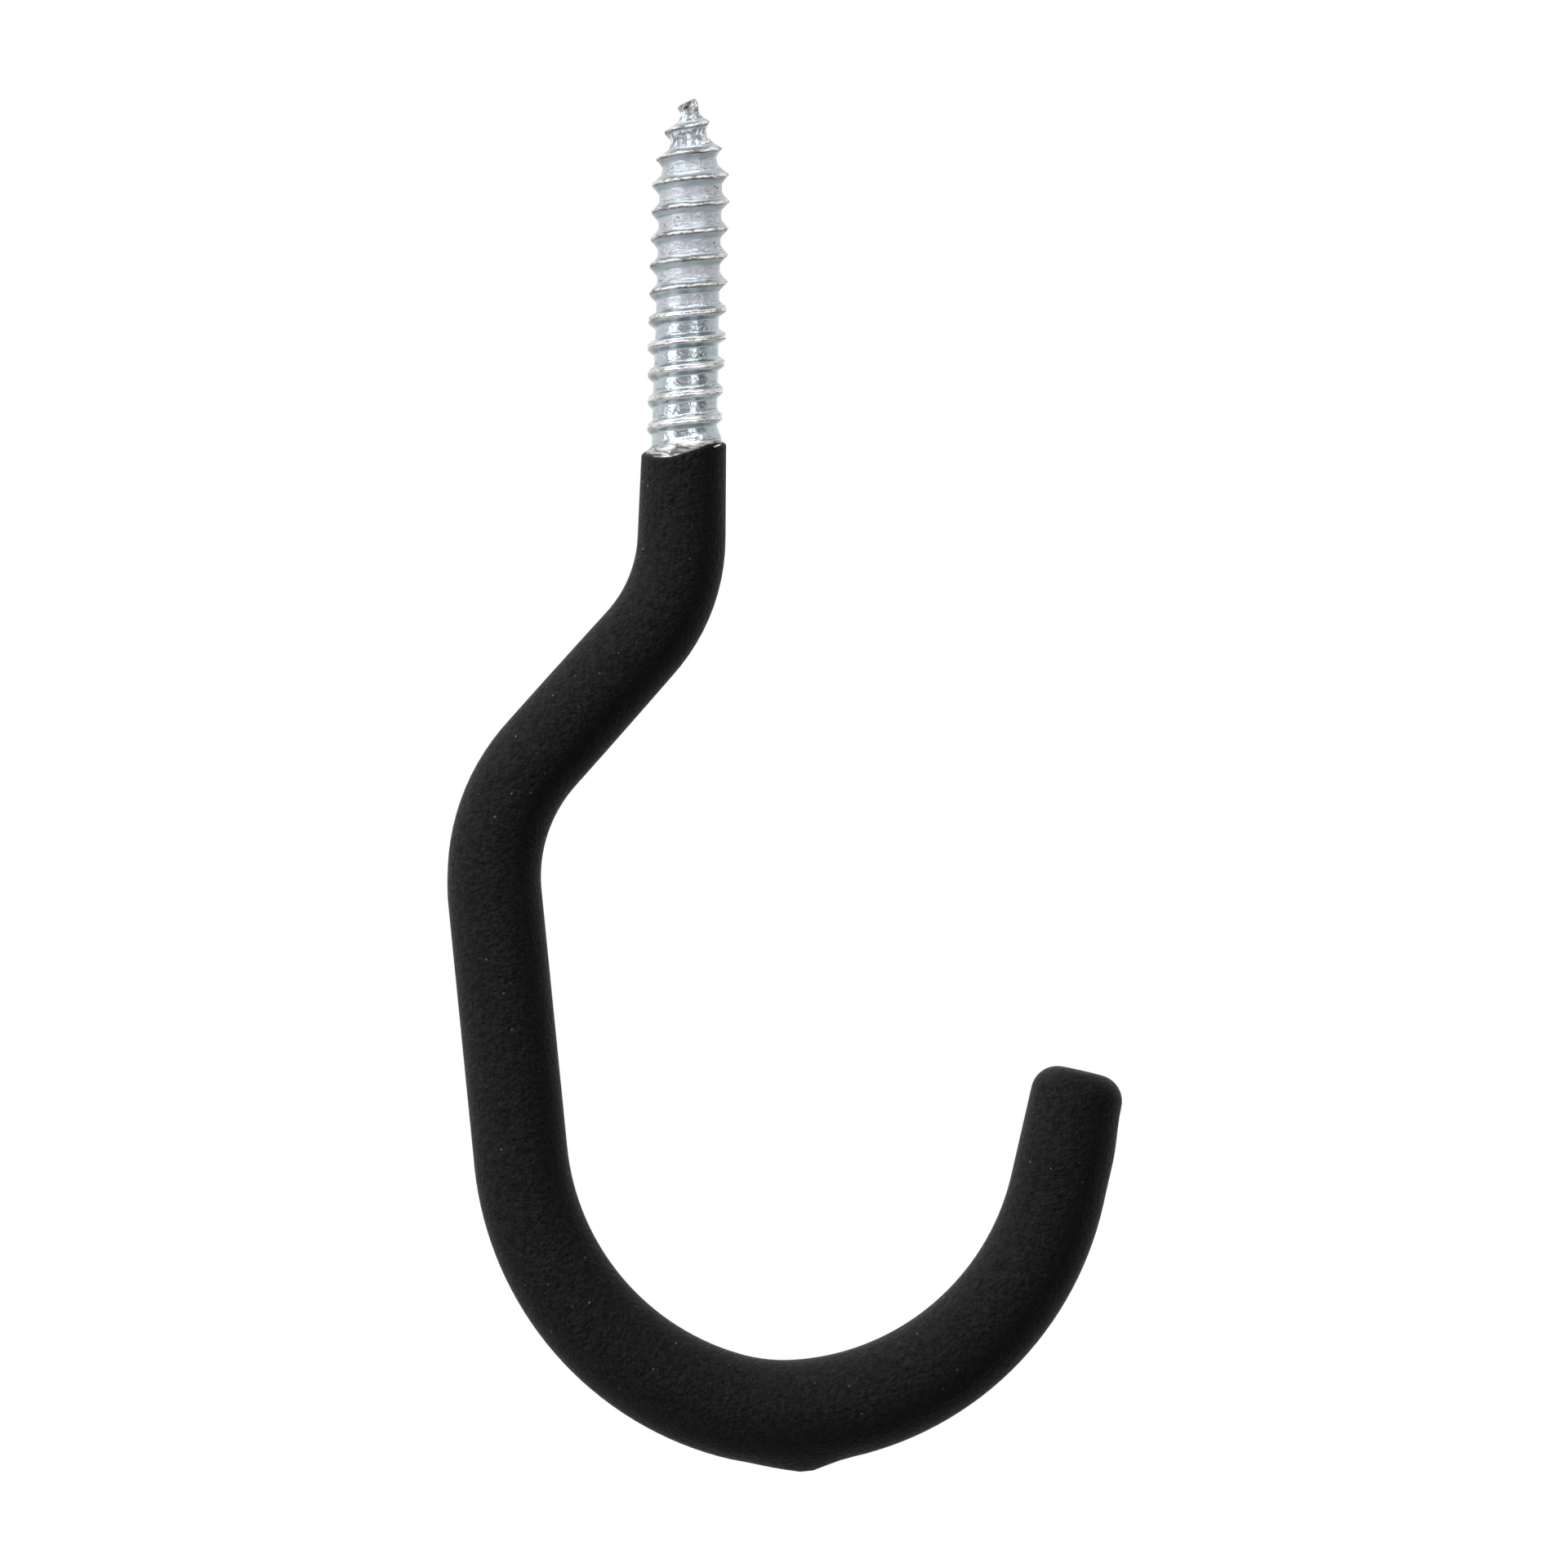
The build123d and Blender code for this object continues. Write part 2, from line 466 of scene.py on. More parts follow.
bpy.ops.object.mode_set(mode="OBJECT")
print("wound vertices:", len(screw.data.vertices))


# %% [markdown]
# ## The shape of the thread
# The rolling dies did not fill evenly. By the vinyl the ridges are blunt, with a lap seam along the
# crest. Further up they are full and sharp, with hollow flanks and a ragged edge. The groove starts
# as a slanting ledge out of the plain shank, and at the tip the blank was pinched off and bent.

# %% Radius of root and crest
root_low = 3.41
root_high = 3.3
stand_low = 0.54
stand_high = 0.81
fill_start = 4.0
sharp_start = 12.5
sharp_run = 6.0
taper_start = 28.3
helix_radius = 3.6
core_near_tip = [
    # height, core radius, shift of the axis to the side
    (28.3, 3.3, 0.0),
    (30.8, 2.62, -0.02),
    (32.5, 1.93, -0.16),
    (33.8, 1.52, -0.24),
    (34.6, 1.22, -0.2),
    (35.2, 0.92, -0.2),
    (35.6, 0.92, -0.34),
    (35.9, 1.03, -0.5),
    (36.2, 0.92, -0.42),
    (36.5, 0.75, -0.32),
    (36.8, 0.5, -0.24),
    (37.0, 0.25, -0.2),
    (45.0, 0.2, -0.2),
]
stand_near_tip = [
    # height, how far the crest stands out of the core
    (28.3, 0.84),
    (31.2, 1.02),
    (33.4, 1.04),
    (34.7, 0.74),
    (35.5, 0.2),
    (36.0, 0.0),
    (45.0, 0.0),
]


def between(rows, height, column=1):
    """Value of a column at this height, on straight runs between the rows."""
    for lower, upper in zip(rows, rows[1:]):
        if height < upper[0]:
            share = max(height - lower[0], 0.0) / (upper[0] - lower[0])
            return lower[column] + (upper[column] - lower[column]) * share
    return rows[-1][column]


def root_at(height):
    """Radius of the bottom of the groove."""
    if height > taper_start:
        return between(core_near_tip, height)
    return root_low + (root_high - root_low) * smooth_step((height - fill_start) / 14)


def stand_at(height):
    """How far the ridge stands out of the root."""
    if height > taper_start:
        return between(stand_near_tip, height)
    return stand_low + (stand_high - stand_low) * smooth_step((height - fill_start) / 9)


def sharpness(height):
    """0 where the ridge is blunt, by the vinyl, and 1 where it is full and sharp."""
    return smooth_step((height - sharp_start) / sharp_run)


print("root", round(root_at(10), 2), "crest", round(root_at(10) + stand_at(10), 2), "mm")


# %% The thread's profile
blunt_top = 0.2
blunt_flank = 0.68
seam_depth = 0.1
seam_half_width = 0.09
sharp_edge = 0.06
hollow_flank = 1.28


def uneven(x, y, z=0.0):
    """Smooth noise between about -1 and 1, the same on every run."""
    return noise.noise(Vector((x, y, z)))


def ridge_share(off, sharp, wander):
    """Share of the full ridge at this distance off the crest line, blunt or sharp."""
    reach = abs(off)
    blunt_reach = reach * (0.93 if off < 0 else 1.06)
    blunt = 1 - smooth_step((blunt_reach - blunt_top) / blunt_flank)
    blunt -= seam_depth * max(1 - abs(off + 0.05 * wander) / seam_half_width, 0.0)
    pointed = max(1 - max(reach - sharp_edge, 0.0), 0.0) ** hollow_flank
    return blunt + (pointed - blunt) * sharp


def crest_slip(height):
    """How far the rolled crest runs ahead of an even pitch."""
    return -0.05 + 0.18 * smooth_step((height - fill_start) / 24)


def crest_wander(along, sharp):
    """How far the crest line strays from an even helix, more on the sharp turns."""
    return (0.03 + 0.05 * sharp) * uneven(along * 1.1, 5.5)


def thread_radius(angle, height):
    """Radius of the screw's skin, its distance off the crest line and its turn along the helix."""
    rise = height - pitch * angle / (2 * pi) - first_crest
    strand = floor(rise / pitch + 0.5)
    off = rise - strand * pitch
    turned = angle + 2 * pi * strand
    along = turned * helix_radius
    sharp = sharpness(height)
    wander = uneven(along * 0.35, 3.1)
    root = root_at(height)
    stand = stand_at(height)
    off_line = off - crest_slip(height) + crest_wander(along, sharp)
    near_crest = smooth_step(1 - abs(off_line) / 0.4)
    ragged = 0.06 * uneven(along * 1.5, 7.7) + 0.05 * uneven(along * 3.7, off * 6.0)
    stand *= 1 + ragged * near_crest * (0.25 + 1.3 * sharp)
    radius = root + stand * ridge_share(off_line, sharp, wander)
    return radius, off, turned


# %% The slanting shoulder
groove_start_turn = -3.5 * pi
shoulder_top_turn = -2 * pi
shoulder_end_turn = -1.1 * pi
run_out_turn = -3.6 * pi


def shoulder_radius(radius, off, turned):
    """Fill the groove where it runs out into the plain shank."""
    groove_turn = turned if off > 0 else turned - 2 * pi
    above_ledge = off if off > 0 else off + pitch
    if groove_turn > shoulder_end_turn:
        return radius
    opened = smooth_step((groove_turn - groove_start_turn) / (0.45 * pi))
    near = smooth_step(1 - abs(groove_turn - shoulder_top_turn) / (0.9 * pi))
    ledge = 0.8 + 1.05 * near
    filled = rod_radius - (rod_radius - root_low) * smooth_step(above_ledge / ledge - 0.12)
    filled = rod_radius + (filled - rod_radius) * opened
    if above_ledge < pitch * 0.62:
        return filled
    return max(radius, filled)


# %% The fold at the tip
crease_foot = Vector((-0.95, 0, 35.75))
crease_across = Vector((-0.707, 0, 0.707))
crease_along = Vector((0.707, 0, 0.707))
crease_depth = 0.24
flap_height = 0.14
fold_start = 35.2
forged_start = 30.8
pinch_start = 34.8
pinch_flatness = 0.18


def near_ridge(off):
    """1 on the ridge, 0 in the groove."""
    return smooth_step(1.6 - abs(off) / 0.6)


def fold_push(placed):
    """How far the front of the tip is pushed back: a sharp crease under a folded flap."""
    if placed.z < fold_start or placed.y > 0:
        return 0.0
    away = (placed - crease_foot).dot(crease_across)
    along = (placed - crease_foot).dot(crease_along)
    ends = smooth_step((along + 0.2) / 0.3) * smooth_step((1.2 - along) / 0.4)
    crease = crease_depth * max(1 - abs(away) / 0.2, 0.0)
    flap = flap_height * smooth_step(away / 0.12) * smooth_step((0.75 - away) / 0.4)
    return (crease - flap) * ends


def dent_at(spot, angle, off, pinch):
    """Small dents of the skin, deeper where the tip was forged and pinched."""
    dent = 0.02 * uneven(spot.x * 1.7, spot.y * 1.7, spot.z * 1.7)
    dent += 0.2 * pinch * uneven(spot.x * 0.9 + 4, spot.y * 0.9, spot.z * 1.1)
    forged = smooth_step((spot.z - forged_start) / 1.6) * (1 - near_ridge(off))
    folds = uneven(cos(angle) * 3.4, sin(angle) * 3.4, spot.z * 0.5)
    dent += forged * (0.16 * folds + 0.05 * uneven(cos(angle) * 8, sin(angle) * 8, spot.z * 1.3))
    return dent * smooth_step((spot.z - 0.5) / 2)


# %% Shape every point of the thread
for vertex in screw.data.vertices:
    spot = vertex.co / mm
    angle = atan2(spot.y, spot.x)
    radius, off, turned = thread_radius(angle, spot.z)
    radius = shoulder_radius(radius, off, turned)
    if turned < run_out_turn and spot.z <= 0:
        radius = rod_radius
    pinch = smooth_step((spot.z - pinch_start) / 1.2)
    radius += dent_at(spot, angle, off, pinch)
    shift = between(core_near_tip, spot.z, 2)
    flatten = 1 - pinch_flatness * pinch
    placed = Vector((shift + radius * cos(angle), radius * sin(angle) * flatten, spot.z))
    placed.y += fold_push(placed)
    vertex.co = placed * mm
print("thread shaped")

# %% [markdown]
# ## The broken point
# The blank was sheared off at the tip, so the point ends in a small slanted face and not in a cone.
# A bisect cuts it off. The edge that is left is extruded, drawn in and pushed down, and closed,
# which leaves a burr round the broken face.

# %% Shear the tip
tip_height = 36.68
tip_slant = 27.0
tip_normal = Vector((-sin(radians(tip_slant)), -0.1, cos(radians(tip_slant)))).normalized()
tip_point = Vector((-0.4, 0, tip_height)) * mm
bpy.ops.object.mode_set(mode="EDIT")
bpy.ops.mesh.select_all(action="SELECT")
bpy.ops.mesh.bisect(
    plane_co=tip_point,
    plane_no=tip_normal,
    clear_outer=True,
    threshold=cut_threshold,
)
for scale, lift in ((0.82, 0.03), (0.72, -0.1), (0.4, -0.05)):
    bpy.ops.mesh.extrude_region_move(
        TRANSFORM_OT_translate={"value": tip_normal * lift * mm}
    )
    bpy.ops.transform.resize(value=(scale, scale, scale), center_override=selected_centre())
bpy.ops.mesh.merge(type="CENTER")
bpy.ops.object.mode_set(mode="OBJECT")
print("tip at", round(max(vertex.co.z for vertex in screw.data.vertices) / mm, 2), "mm")

# %% [markdown]
# ## The rod inside the vinyl
# From its lower edge the threaded skin goes on as the plain rod, so that the steel is one closed
# piece down to the cut end. It never shows.

# %% The plain rod
deselect_all()
screw.select_set(True)
bpy.context.view_layer.objects.active = screw
bpy.ops.object.mode_set(mode="EDIT")
bpy.ops.mesh.select_all(action="DESELECT")
bpy.ops.mesh.select_non_manifold(extend=False)
rod_start = 1.3
ring = (rod_place(rod_start)[0], 0.0, rod_radius)
rod_rings = 60
for index in range(1, rod_rings + 1):
    spot, lean = rod_place(rod_start + (path_length - rod_end_chamfer - rod_start) * index / rod_rings)
    fresh = (spot, lean, rod_radius)
    next_ring(ring, fresh)
    ring = fresh
fresh = (lip_end, lip_lean, rod_radius - rod_end_chamfer)
next_ring(ring, fresh)
close_ring()
bpy.ops.object.mode_set(mode="OBJECT")
print("rod vertices:", len(screw.data.vertices))

# %% [markdown]
# ## A map that follows the helix
# The dies left fine scratches that run along the thread, and the crests are worn. For them the
# thread gets a map of its own: one direction runs along the helix, and the other is the distance
# off the crest line, both in millimetres. Each face is mapped from the turn that its middle is on.

# %% The helix map
helix_map = screw.data.uv_layers.new(name="helix")
for face in screw.data.polygons:
    middle = face.center / mm
    middle_angle = atan2(middle.y, middle.x)
    middle_rise = middle.z - pitch * middle_angle / (2 * pi) - first_crest
    strand = floor(middle_rise / pitch + 0.5)
    for corner in face.loop_indices:
        spot = screw.data.vertices[screw.data.loops[corner].vertex_index].co / mm
        angle = atan2(spot.y, spot.x)
        if angle - middle_angle > pi:
            angle -= 2 * pi
        if middle_angle - angle > pi:
            angle += 2 * pi
        along = (angle + 2 * pi * strand) * helix_radius
        across = spot.z - pitch * angle / (2 * pi) - first_crest - strand * pitch
        across += crest_wander(along, sharpness(spot.z)) - crest_slip(spot.z)
        helix_map.data[corner].uv = (along, across)
print("mapped faces:", len(screw.data.polygons))

# %% Settle both pieces
settle(sleeve, 60)
settle(screw, 38)

# %% [markdown]
# ## Helpers for node materials
# A material is a tree of nodes, and a node takes a few lines to add and link. Each helper below adds
# one to a tree and gives back its output, so that a finish can be read from the top down as a list
# of what is mixed with what.


# %% Helpers for nodes
def start_material(name):
    """A material with its node tree, its shader and the piece's own coordinates."""
    material = bpy.data.materials.new(name)
    material.use_nodes = True
    tree = material.node_tree
    shader = tree.nodes["Principled BSDF"]
    place = tree.nodes.new("ShaderNodeTexCoord").outputs["Object"]
    return material, tree, shader, place


def mix_colour(tree, share, first, second):
    """Mix two colours by a share; each may be a colour or another node's output."""
    mix = tree.nodes.new("ShaderNodeMix")
    mix.data_type = "RGBA"
    tree.links.new(share, mix.inputs["Factor"])
    for value, socket in ((first, mix.inputs["A"]), (second, mix.inputs["B"])):
        if isinstance(value, tuple):
            socket.default_value = (*value, 1.0)
        else:
            tree.links.new(value, socket)
    return mix.outputs["Result"]


def calculate(tree, operation, *values):
    """A Math node; each value is a number or another node's output."""
    node = tree.nodes.new("ShaderNodeMath")
    node.operation = operation
    for socket, value in zip(node.inputs, values):
        if isinstance(value, (int, float)):
            socket.default_value = value
        else:
            tree.links.new(value, socket)
    return node.outputs[0]


def product(tree, *values):
    """Multiply any number of values with each other."""
    result = values[0]
    for value in values[1:]:
        result = calculate(tree, "MULTIPLY", result, value)
    return result


def noise_at(tree, place, scale, detail=3.0, roughness=0.55, twist=0.0):
    """Noise at a place; the scale is a number, or one for each direction."""
    texture = tree.nodes.new("ShaderNodeTexNoise")
    texture.inputs["Detail"].default_value = detail
    texture.inputs["Roughness"].default_value = roughness
    texture.inputs["Distortion"].default_value = twist
    if isinstance(scale, tuple):
        squeeze = tree.nodes.new("ShaderNodeMapping")
        squeeze.inputs["Scale"].default_value = scale
        tree.links.new(place, squeeze.inputs["Vector"])
        place = squeeze.outputs["Vector"]
        scale = 1.0
    texture.inputs["Scale"].default_value = scale
    tree.links.new(place, texture.inputs["Vector"])
    return texture.outputs["Fac"]


def measure(tree, operation, place, other=(0, 0, 0)):
    """A Vector Math node that gives one number from a place and a fixed vector."""
    node = tree.nodes.new("ShaderNodeVectorMath")
    node.operation = operation
    tree.links.new(place, node.inputs[0])
    node.inputs[1].default_value = other
    return node.outputs["Value"]


def add_bump(tree, height, strength, depth, below=None):
    """A Bump node with its depth in mm, on top of another one's normal."""
    node = tree.nodes.new("ShaderNodeBump")
    node.inputs["Strength"].default_value = strength
    node.inputs["Distance"].default_value = depth * mm
    tree.links.new(height, node.inputs["Height"])
    if below:
        tree.links.new(below, node.inputs["Normal"])
    return node.outputs["Normal"]


def stretch(tree, value, low, high, out_low=0.0, out_high=1.0):
    """Map a value's range onto another one."""
    node = tree.nodes.new("ShaderNodeMapRange")
    tree.links.new(value, node.inputs["Value"])
    node.inputs["From Min"].default_value = low
    node.inputs["From Max"].default_value = high
    node.inputs["To Min"].default_value = out_low
    node.inputs["To Max"].default_value = out_high
    return node.outputs["Result"]


# %% [markdown]
# ## Grain, used by both finishes
# Vinyl and zinc both carry a fine grain, only at another size. One node group makes it: a noise of
# several layers gives the height, and the middles of a cell pattern give sparse specks. Each
# material places the group with its own sizes, and takes the height and the specks from it.


# %% The grain group
def build_grain_group():
    """Node group: grain height and speck mask from a place in metres."""
    tree = bpy.data.node_groups.new("grain", "ShaderNodeTree")
    face = tree.interface
    face.new_socket("Place", in_out="INPUT", socket_type="NodeSocketVector")
    face.new_socket("Grain Size", in_out="INPUT", socket_type="NodeSocketFloat")
    face.new_socket("Speck Size", in_out="INPUT", socket_type="NodeSocketFloat")
    face.new_socket("Height", in_out="OUTPUT", socket_type="NodeSocketFloat")
    face.new_socket("Specks", in_out="OUTPUT", socket_type="NodeSocketFloat")
    start = tree.nodes.new("NodeGroupInput")
    end = tree.nodes.new("NodeGroupOutput")

    per_grain = calculate(tree, "DIVIDE", 1.0, start.outputs["Grain Size"])
    pebbles = tree.nodes.new("ShaderNodeTexNoise")
    pebbles.inputs["Detail"].default_value = 4.0
    pebbles.inputs["Roughness"].default_value = 0.62
    tree.links.new(start.outputs["Place"], pebbles.inputs["Vector"])
    tree.links.new(per_grain, pebbles.inputs["Scale"])
    tree.links.new(pebbles.outputs["Fac"], end.inputs["Height"])

    per_speck = calculate(tree, "DIVIDE", 1.0, start.outputs["Speck Size"])
    cells = tree.nodes.new("ShaderNodeTexVoronoi")
    tree.links.new(start.outputs["Place"], cells.inputs["Vector"])
    tree.links.new(per_speck, cells.inputs["Scale"])
    dots = stretch(tree, cells.outputs["Distance"], 0.075, 0.03)
    tree.links.new(dots, end.inputs["Specks"])
    return tree


grain = build_grain_group()
print("group:", grain.name)


def place_grain(tree, place, grain_size, speck_size):
    """Put the grain group in a material, with its sizes in mm."""
    node = tree.nodes.new("ShaderNodeGroup")
    node.node_tree = grain
    node.inputs["Grain Size"].default_value = grain_size * mm
    node.inputs["Speck Size"].default_value = speck_size * mm
    tree.links.new(place, node.inputs["Place"])
    return node


# %% [markdown]
# ## Matte black vinyl
# Dipped vinyl is dense black with a dull skin that scatters the light softly. Seen close it is a
# little cloudy, with faint wrinkles, a fine pebbled grain and a few pale specks of dust. Its shine
# is set low, so that only the edges catch the white ground.

# %% The vinyl's tone and grain
vinyl, tree, shader, place = start_material("matte_black_vinyl")
skin = place_grain(tree, place, 0.42, 2.1)
clouds = noise_at(tree, place, 1500.0, 4.0, 0.8)
dusting = stretch(tree, clouds, 0.38, 0.62)
wrinkles = noise_at(tree, place, (1200.0, 1200.0, 2100.0), 2.0, 0.55, 0.4)
tone = mix_colour(tree, dusting, (0.0125, 0.0125, 0.013), (0.04, 0.04, 0.041))
speckled = mix_colour(tree, skin.outputs["Specks"], tone, (0.3, 0.3, 0.3))
dullness = stretch(tree, skin.outputs["Height"], 0.3, 0.7, 0.38, 0.54)
tree.links.new(dullness, shader.inputs["Roughness"])
shader.inputs["Specular IOR Level"].default_value = 0.06
pebbled = add_bump(tree, wrinkles, 1.0, 0.22)
pebbled = add_bump(tree, skin.outputs["Height"], 1.0, 0.4, pebbled)
tree.links.new(pebbled, shader.inputs["Normal"])
print("vinyl's grain made")

# %% [markdown]
# ## A painted highlight by the rim
# At the right of the rim a bright metal patch is a painted highlight, standing for a glint on the
# rim's edge. A Mapping node of the texture kind puts a long, thin, tilted egg there, and inside it
# the surface turns to near-white metal.

# %% The painted highlight on the rim
glint_middle = Vector((3.56, -2.7, 0.29))
glint_tilt = -25
glint_reach = Vector((0.5, 1.6, 0.085))
glint_place = tree.nodes.new("ShaderNodeMapping")
glint_place.vector_type = "TEXTURE"
glint_place.inputs["Location"].default_value = glint_middle * mm
glint_place.inputs["Rotation"].default_value = (0, radians(glint_tilt), 0)
glint_place.inputs["Scale"].default_value = glint_reach * mm
tree.links.new(place, glint_place.inputs["Vector"])
off_glint = measure(tree, "LENGTH", glint_place.outputs["Vector"])
# Painted highlight: inside the egg the vinyl turns to bright metal, a glint on the rim's edge.
painted_glint = stretch(tree, off_glint, 1.0, 0.8)
with_painted_glint = mix_colour(tree, painted_glint, speckled, (0.95, 0.95, 0.93))
tree.links.new(with_painted_glint, shader.inputs["Base Color"])
tree.links.new(painted_glint, shader.inputs["Metallic"])
sleeve.data.materials.clear()
sleeve.data.materials.append(vinyl)
print("material:", vinyl.name)

# %% [markdown]
# ## Zinc plate on rolled steel
# Bright zinc is a bluish light metal. The bottom of the groove looks hammered, with thin curls where
# scale was pressed into it, and near the point it is crumpled, where the blank was forged down; its
# folds carry painted highlights and shade. The flanks carry lines that the dies left along the
# thread, and the undersides of the upper ridges carry painted shade. The upper grooves are painted
# paler, for the broad reflection they show. The crest is a pale band, a painted highlight, ragged
# with dark flecks where the metal of both flanks met without closing. By the rim the bare shoulder
# is scuffed. First come the masks that say where each of these is. Most of them follow the helix
# map, whose second direction is nought on the crest line.

# %% Masks along the helix
zinc, tree, shader, place = start_material("zinc_plated_steel")
metal_grain = place_grain(tree, place, 0.5, 2.4)
helix = tree.nodes.new("ShaderNodeUVMap")
helix.uv_map = "helix"
helix_place = helix.outputs["UV"]
helix_parts = tree.nodes.new("ShaderNodeSeparateXYZ")
tree.links.new(helix_place, helix_parts.inputs["Vector"])
place_parts = tree.nodes.new("ShaderNodeSeparateXYZ")
tree.links.new(place, place_parts.inputs["Vector"])
height_here = place_parts.outputs["Z"]
upper_turns = stretch(tree, height_here, 12 * mm, 18 * mm)
below_head = stretch(tree, height_here, 35.7 * mm, 35.3 * mm)
forged_tip = stretch(tree, height_here, 31.2 * mm, 32.2 * mm)
sideways = place_parts.outputs["X"]
leaning_height = calculate(tree, "MULTIPLY_ADD", sideways, -0.1, height_here)
by_rim = stretch(tree, leaning_height, 0.6 * mm, 0.35 * mm)
wave = noise_at(tree, helix_place, (0.8, 0.0, 1.0))
strayed = calculate(tree, "MULTIPLY_ADD", wave, 0.2, -0.1)
off_crest = calculate(tree, "ADD", helix_parts.outputs["Y"], strayed)


def line_along(middle, half_width):
    """Mask of a thin line that runs along the helix at this distance off the crest."""
    away = calculate(tree, "SUBTRACT", off_crest, middle)
    away = calculate(tree, "ABSOLUTE", away)
    return stretch(tree, away, half_width, half_width * 0.4)


above_flank = stretch(tree, off_crest, 0.52, 0.7)
below_flank = stretch(tree, off_crest, -0.78, -1.1)
root = calculate(tree, "MAXIMUM", above_flank, below_flank)
crest_band = product(tree, line_along(0.0, 0.29), below_head)
dashes = stretch(tree, noise_at(tree, helix_place, (0.5, 3.1, 1.0)), 0.47, 0.58)
lines = calculate(tree, "MAXIMUM", line_along(0.36, 0.07), line_along(0.62, 0.06))
lines = calculate(tree, "MAXIMUM", lines, line_along(0.92, 0.05))
line_strength = stretch(tree, upper_turns, 0, 1, 1, 0.6)
lines = product(tree, lines, dashes, below_head, line_strength)
lap_breaks = stretch(tree, noise_at(tree, helix_place, (0.9, 1.0, 1.0)), 0.4, 0.56)
lap = product(tree, line_along(-0.2, 0.07), lap_breaks, below_head)
print("zinc masks made")

# %% Noises on the zinc
streaks = noise_at(tree, helix_place, (0.3, 7.0, 1.0), 6.0, 0.62)
hammered = noise_at(tree, place, (1500.0, 1500.0, 1900.0), 1.0, 0.5)
mottle = noise_at(tree, helix_place, (1.5, 4.0, 1.0), 4.0, 0.65, 0.6)
pits = noise_at(tree, helix_place, (1.1, 2.6, 1.0), 1.0, 0.5, 1.5)
crest_scale = noise_at(tree, helix_place, (1.9, 5.0, 1.0), 4.0, 0.7)
crest_patches = noise_at(tree, helix_place, (0.45, 0.0, 1.0), 2.0)
scale_edges = noise_at(tree, place, (1300.0, 1300.0, 1500.0), 1.0, 0.5, 0.4)
scale_places = noise_at(tree, place, 650.0, 1.0)
folds = noise_at(tree, place, (2500.0, 2500.0, 560.0), 2.0, 0.55, 0.6)
scuffs = noise_at(tree, place, (420.0, 420.0, 1900.0), 5.0, 0.64, 0.9)
print("zinc noises made")

# %% [markdown]
# ## The zinc's colours
# The plate's colour is built up in layers, from the whole down to the small. The streaked plate
# comes first, then the grooves, the curls, the painted shade on the undersides of the upper ridges,
# the upper grooves painted paler for their broad reflection, and the painted highlights and shade
# of the folds near the point. The crest with its painted highlight, the die lines, the lap seam and
# the scuffs are laid over them.

# %% The plate and the grooves
upper_root = product(tree, upper_turns, root)
streak_share = stretch(tree, streaks, 0.32, 0.66)
plate = mix_colour(tree, streak_share, (0.38, 0.445, 0.485), (0.62, 0.67, 0.69))
plate = mix_colour(tree, root, plate, (0.51, 0.57, 0.595))
curls = calculate(tree, "ABSOLUTE", calculate(tree, "SUBTRACT", scale_edges, 0.5))
curls = stretch(tree, curls, 0.06, 0.0)
curl_places = stretch(tree, scale_places, 0.46, 0.6)
curls = product(tree, curls, curl_places, root)
plate = mix_colour(tree, curls, plate, (0.44, 0.47, 0.485))
# Painted shade: the undersides of the upper ridges, below the crest, are darker and bluer, streaked
# like the plate.
above_root = stretch(tree, off_crest, -0.98, -0.75)
below_crest = stretch(tree, off_crest, -0.18, -0.3)
underside_shade = product(tree, above_root, below_crest, upper_turns)
underside_shade_blue = mix_colour(tree, streak_share, (0.32, 0.39, 0.43), (0.58, 0.64, 0.67))
plate = mix_colour(tree, underside_shade, plate, underside_shade_blue)
# The upper grooves are painted paler, standing for the broad reflection they show, with a mottled tone
# and dark pits.
root_painted_paler = mix_colour(
    tree, stretch(tree, mottle, 0.34, 0.62),
    (0.48, 0.515, 0.55), (0.7, 0.73, 0.77),
)
pit_mask = product(tree, stretch(tree, pits, 0.66, 0.74), upper_root)
root_painted_paler = mix_colour(tree, pit_mask, root_painted_paler, (0.2, 0.2, 0.21))
plate = mix_colour(tree, upper_root, plate, root_painted_paler)
# Painted highlights and shade: bright strokes and dark lines along the crumpled folds near the point.
fold_highlights_and_shade = mix_colour(
    tree, stretch(tree, folds, 0.45, 0.55),
    (0.3, 0.35, 0.38), (0.92, 0.94, 0.95),
)
groove = calculate(tree, "MAXIMUM", root, stretch(tree, off_crest, -0.3, -0.55))
in_fold = product(tree, forged_tip, groove)
plate = mix_colour(tree, in_fold, plate, fold_highlights_and_shade)
head_tone = mix_colour(
    tree, stretch(tree, hammered, 0.4, 0.6),
    (0.24, 0.26, 0.27), (0.66, 0.68, 0.7),
)
plate = mix_colour(tree, below_head, head_tone, plate)
print("plate coloured")

# %% The crest's painted highlight, the lines and the scuffs
# The crest's pale band is a painted highlight along the ridge; the dark flecks in it are where the
# metal did not close.
patch_lift = calculate(tree, "MULTIPLY_ADD", crest_patches, 0.9, -0.45)
fleck = calculate(tree, "ADD", crest_scale, patch_lift)
ragged_share = stretch(tree, fleck, 0.4, 0.52)
ragged_crest_highlight = mix_colour(tree, ragged_share, (0.27, 0.255, 0.235), (0.99, 0.975, 0.95))
blunt_crest_highlight = mix_colour(tree, ragged_share, (0.5, 0.49, 0.475), (0.97, 0.965, 0.95))
crest_flecks_and_highlight = mix_colour(tree, upper_turns, blunt_crest_highlight, ragged_crest_highlight)
coloured = mix_colour(tree, crest_band, plate, crest_flecks_and_highlight)
grooved = mix_colour(tree, lines, coloured, (0.24, 0.27, 0.3))
lapped = mix_colour(tree, lap, grooved, (0.17, 0.165, 0.16))
